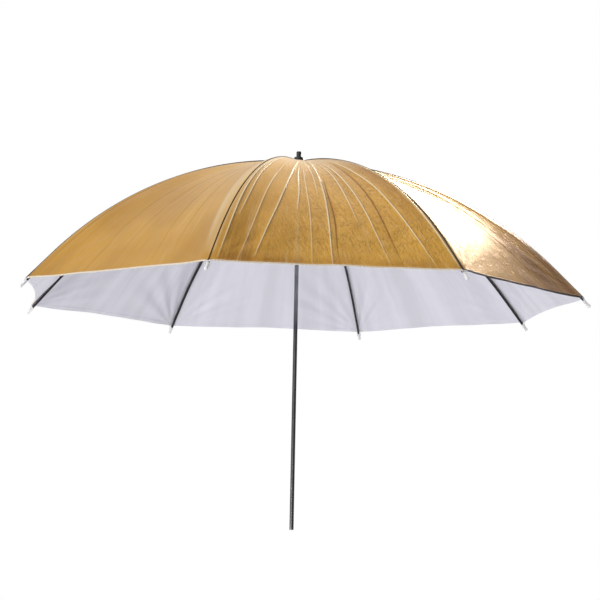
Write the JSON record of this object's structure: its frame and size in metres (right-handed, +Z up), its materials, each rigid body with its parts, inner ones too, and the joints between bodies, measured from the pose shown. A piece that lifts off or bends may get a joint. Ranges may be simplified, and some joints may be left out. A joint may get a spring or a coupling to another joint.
{
  "type": "umbrella reflector",
  "caption": "Folding photographic umbrella reflector: gold and silver canopy on curved channel ribs, stretchers and sliding runner on a bare steel shaft.",
  "frame": {"origin": "centre of the shaft's lower end", "axes": "+Z up the shaft to the ferrule, +X along rib 1; ribs and gores are numbered anticlockwise seen from above"},
  "size_m": [1.112, 1.112, 0.7235],
  "materials": {
    "shaft_steel": "bright drawn tube",
    "black_plastic": "moulded, satin",
    "bright_steel": "plated wire and pins",
    "white_plastic": "moulded, slightly translucent",
    "rib_steel": "dark grey lacquer",
    "canopy_fabric": "gold metallised outside, silver inside"
  },
  "bodies": {
    "shaft": {"shaft_tube": "shaft_steel", "shaft_end_plug": "black_plastic", "crown": "black_plastic", "crown_wire": "bright_steel", "crown_pin": "bright_steel", "canopy_washer": "white_plastic", "canopy_rosette": "canopy_fabric", "ferrule_collar": "black_plastic", "ferrule_tip": "black_plastic", "stop_pin": "bright_steel", "catch_rivet": "bright_steel"},
    "catch": {"catch_spring": "bright_steel"},
    "runner": {"runner": "black_plastic", "runner_wire": "bright_steel"},
    "rib_arm_1": {"rib_1": "rib_steel", "rib_tip_1": "white_plastic"},
    "strut_1": {"stretcher_1": "rib_steel", "joint_rivet_1": "bright_steel"},
    "panel_1": {"gore_1": "canopy_fabric"},
    "rib_arm_2": {"rib_2": "rib_steel", "rib_tip_2": "white_plastic"},
    "strut_2": {"stretcher_2": "rib_steel", "joint_rivet_2": "bright_steel"},
    "panel_2": {"gore_2": "canopy_fabric"},
    "rib_arm_3": {"rib_3": "rib_steel", "rib_tip_3": "white_plastic"},
    "strut_3": {"stretcher_3": "rib_steel", "joint_rivet_3": "bright_steel"},
    "panel_3": {"gore_3": "canopy_fabric"},
    "rib_arm_4": {"rib_4": "rib_steel", "rib_tip_4": "white_plastic"},
    "strut_4": {"stretcher_4": "rib_steel", "joint_rivet_4": "bright_steel"},
    "panel_4": {"gore_4": "canopy_fabric"},
    "rib_arm_5": {"rib_5": "rib_steel", "rib_tip_5": "white_plastic"},
    "strut_5": {"stretcher_5": "rib_steel", "joint_rivet_5": "bright_steel"},
    "panel_5": {"gore_5": "canopy_fabric"},
    "rib_arm_6": {"rib_6": "rib_steel", "rib_tip_6": "white_plastic"},
    "strut_6": {"stretcher_6": "rib_steel", "joint_rivet_6": "bright_steel"},
    "panel_6": {"gore_6": "canopy_fabric"},
    "rib_arm_7": {"rib_7": "rib_steel", "rib_tip_7": "white_plastic"},
    "strut_7": {"stretcher_7": "rib_steel", "joint_rivet_7": "bright_steel"},
    "panel_7": {"gore_7": "canopy_fabric"},
    "rib_arm_8": {"rib_8": "rib_steel", "rib_tip_8": "white_plastic"},
    "strut_8": {"stretcher_8": "rib_steel", "joint_rivet_8": "bright_steel"},
    "panel_8": {"gore_8": "canopy_fabric"}
  },
  "joints": [
    {"name": "canopy_fold", "type": "hinge", "parent": "shaft", "child": "rib_arm_1", "pos_m": [0.00895, 0, 0.69935], "axis": [0, 1, 0], "range_deg": [0, 61]},
    {"name": "stretcher_fold_1", "type": "hinge", "parent": "rib_arm_1", "child": "strut_1", "pos_m": [0.27328, 0, 0.62938], "axis": [0, 1, 0], "range_deg": [-122, 0]},
    {"name": "gore_turn_1", "type": "hinge", "parent": "rib_arm_1", "child": "panel_1", "pos_m": [0.00895, 0.00371, 0.69935], "axis": [-0.8115, -0.3361, -0.478], "range_deg": [0, 44.8], "deforming": ["gore_1"]},
    {"name": "rib_fold_2", "type": "hinge", "parent": "shaft", "child": "rib_arm_2", "pos_m": [0.00633, 0.00633, 0.69935], "axis": [-0.7071, 0.7071, 0], "range_deg": [0, 61]},
    {"name": "stretcher_fold_2", "type": "hinge", "parent": "rib_arm_2", "child": "strut_2", "pos_m": [0.19324, 0.19324, 0.62938], "axis": [-0.7071, 0.7071, 0], "range_deg": [-122, 0]},
    {"name": "gore_turn_2", "type": "hinge", "parent": "rib_arm_2", "child": "panel_2", "pos_m": [0.00371, 0.00895, 0.69935], "axis": [-0.3361, -0.8115, -0.478], "range_deg": [0, 44.8], "deforming": ["gore_2"]},
    {"name": "rib_fold_3", "type": "hinge", "parent": "shaft", "child": "rib_arm_3", "pos_m": [0, 0.00895, 0.69935], "axis": [-1, 0, 0], "range_deg": [0, 61]},
    {"name": "stretcher_fold_3", "type": "hinge", "parent": "rib_arm_3", "child": "strut_3", "pos_m": [0, 0.27328, 0.62938], "axis": [-1, 0, 0], "range_deg": [-122, 0]},
    {"name": "gore_turn_3", "type": "hinge", "parent": "rib_arm_3", "child": "panel_3", "pos_m": [-0.00371, 0.00895, 0.69935], "axis": [0.3361, -0.8115, -0.478], "range_deg": [0, 44.8], "deforming": ["gore_3"]},
    {"name": "rib_fold_4", "type": "hinge", "parent": "shaft", "child": "rib_arm_4", "pos_m": [-0.00633, 0.00633, 0.69935], "axis": [-0.7071, -0.7071, 0], "range_deg": [0, 61]},
    {"name": "stretcher_fold_4", "type": "hinge", "parent": "rib_arm_4", "child": "strut_4", "pos_m": [-0.19324, 0.19324, 0.62938], "axis": [-0.7071, -0.7071, 0], "range_deg": [-122, 0]},
    {"name": "gore_turn_4", "type": "hinge", "parent": "rib_arm_4", "child": "panel_4", "pos_m": [-0.00895, 0.00371, 0.69935], "axis": [0.8115, -0.3361, -0.478], "range_deg": [0, 44.8], "deforming": ["gore_4"]},
    {"name": "rib_fold_5", "type": "hinge", "parent": "shaft", "child": "rib_arm_5", "pos_m": [-0.00895, 0, 0.69935], "axis": [0, -1, 0], "range_deg": [0, 61]},
    {"name": "stretcher_fold_5", "type": "hinge", "parent": "rib_arm_5", "child": "strut_5", "pos_m": [-0.27328, 0, 0.62938], "axis": [0, -1, 0], "range_deg": [-122, 0]},
    {"name": "gore_turn_5", "type": "hinge", "parent": "rib_arm_5", "child": "panel_5", "pos_m": [-0.00895, -0.00371, 0.69935], "axis": [0.8115, 0.3361, -0.478], "range_deg": [0, 44.8], "deforming": ["gore_5"]},
    {"name": "rib_fold_6", "type": "hinge", "parent": "shaft", "child": "rib_arm_6", "pos_m": [-0.00633, -0.00633, 0.69935], "axis": [0.7071, -0.7071, 0], "range_deg": [0, 61]},
    {"name": "stretcher_fold_6", "type": "hinge", "parent": "rib_arm_6", "child": "strut_6", "pos_m": [-0.19324, -0.19324, 0.62938], "axis": [0.7071, -0.7071, 0], "range_deg": [-122, 0]},
    {"name": "gore_turn_6", "type": "hinge", "parent": "rib_arm_6", "child": "panel_6", "pos_m": [-0.00371, -0.00895, 0.69935], "axis": [0.3361, 0.8115, -0.478], "range_deg": [0, 44.8], "deforming": ["gore_6"]},
    {"name": "rib_fold_7", "type": "hinge", "parent": "shaft", "child": "rib_arm_7", "pos_m": [0, -0.00895, 0.69935], "axis": [1, 0, 0], "range_deg": [0, 61]},
    {"name": "stretcher_fold_7", "type": "hinge", "parent": "rib_arm_7", "child": "strut_7", "pos_m": [0, -0.27328, 0.62938], "axis": [1, 0, 0], "range_deg": [-122, 0]},
    {"name": "gore_turn_7", "type": "hinge", "parent": "rib_arm_7", "child": "panel_7", "pos_m": [0.00371, -0.00895, 0.69935], "axis": [-0.3361, 0.8115, -0.478], "range_deg": [0, 44.8], "deforming": ["gore_7"]},
    {"name": "rib_fold_8", "type": "hinge", "parent": "shaft", "child": "rib_arm_8", "pos_m": [0.00633, -0.00633, 0.69935], "axis": [0.7071, 0.7071, 0], "range_deg": [0, 61]},
    {"name": "stretcher_fold_8", "type": "hinge", "parent": "rib_arm_8", "child": "strut_8", "pos_m": [0.19324, -0.19324, 0.62938], "axis": [0.7071, 0.7071, 0], "range_deg": [-122, 0]},
    {"name": "gore_turn_8", "type": "hinge", "parent": "rib_arm_8", "child": "panel_8", "pos_m": [0.00895, -0.00371, 0.69935], "axis": [-0.8115, 0.3361, -0.478], "range_deg": [0, 44.8], "deforming": ["gore_8"]},
    {"name": "runner_pivot", "type": "hinge", "parent": "strut_1", "child": "runner", "pos_m": [0.00895, 0, 0.5594], "axis": [0, 1, 0], "range_deg": [0, 61]},
    {"name": "catch_press", "type": "hinge", "parent": "shaft", "child": "catch", "pos_m": [0.0013, 0.00054, 0.4751], "axis": [0.3827, -0.9239, 0], "range_deg": [0, 3.3], "stiffness_Nm_per_rad": 1.5, "springref_deg": -1.72}
  ],
  "couplings": [
    {"joint": "stretcher_fold_1", "follows": "canopy_fold", "ratio": -2},
    {"joint": "gore_turn_1", "follows": "canopy_fold", "ratio": 0.7344},
    {"joint": "rib_fold_2", "follows": "canopy_fold", "ratio": 1},
    {"joint": "stretcher_fold_2", "follows": "canopy_fold", "ratio": -2},
    {"joint": "gore_turn_2", "follows": "canopy_fold", "ratio": 0.7344},
    {"joint": "rib_fold_3", "follows": "canopy_fold", "ratio": 1},
    {"joint": "stretcher_fold_3", "follows": "canopy_fold", "ratio": -2},
    {"joint": "gore_turn_3", "follows": "canopy_fold", "ratio": 0.7344},
    {"joint": "rib_fold_4", "follows": "canopy_fold", "ratio": 1},
    {"joint": "stretcher_fold_4", "follows": "canopy_fold", "ratio": -2},
    {"joint": "gore_turn_4", "follows": "canopy_fold", "ratio": 0.7344},
    {"joint": "rib_fold_5", "follows": "canopy_fold", "ratio": 1},
    {"joint": "stretcher_fold_5", "follows": "canopy_fold", "ratio": -2},
    {"joint": "gore_turn_5", "follows": "canopy_fold", "ratio": 0.7344},
    {"joint": "rib_fold_6", "follows": "canopy_fold", "ratio": 1},
    {"joint": "stretcher_fold_6", "follows": "canopy_fold", "ratio": -2},
    {"joint": "gore_turn_6", "follows": "canopy_fold", "ratio": 0.7344},
    {"joint": "rib_fold_7", "follows": "canopy_fold", "ratio": 1},
    {"joint": "stretcher_fold_7", "follows": "canopy_fold", "ratio": -2},
    {"joint": "gore_turn_7", "follows": "canopy_fold", "ratio": 0.7344},
    {"joint": "rib_fold_8", "follows": "canopy_fold", "ratio": 1},
    {"joint": "stretcher_fold_8", "follows": "canopy_fold", "ratio": -2},
    {"joint": "gore_turn_8", "follows": "canopy_fold", "ratio": 0.7344},
    {"joint": "runner_pivot", "follows": "canopy_fold", "ratio": 1}
  ]
}
